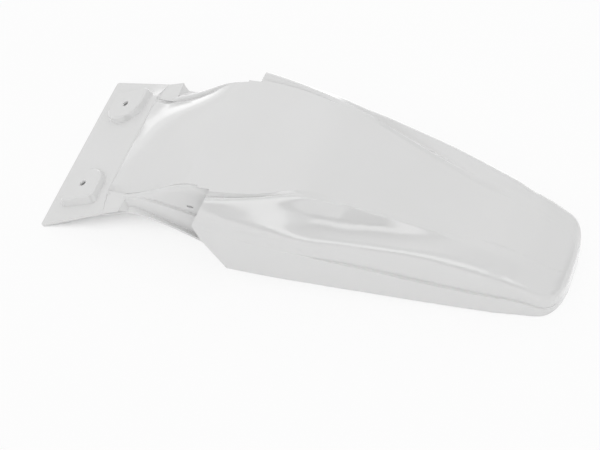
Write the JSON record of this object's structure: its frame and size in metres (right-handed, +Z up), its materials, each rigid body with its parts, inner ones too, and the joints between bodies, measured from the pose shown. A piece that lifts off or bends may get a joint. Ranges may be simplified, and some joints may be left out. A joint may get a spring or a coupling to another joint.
{
  "type": "motorcycle rear fender",
  "caption": "One-piece moulded motorcycle rear fender: sculpted shell with a sloping front mounting plate, domed saddle, side rails, skirts and a turned-down tail lip.",
  "frame": {"origin": "midway between the two front bolt holes, on the seats of their bosses", "axes": "+X to the tail, +Y to the right side, +Z up as the fender lies on a floor"},
  "size_m": [0.628, 0.25, 0.1213],
  "materials": {
    "white_plastic": "gloss"
  },
  "bodies": {
    "root": {"rear_fender": "white_plastic"}
  },
  "joints": []
}
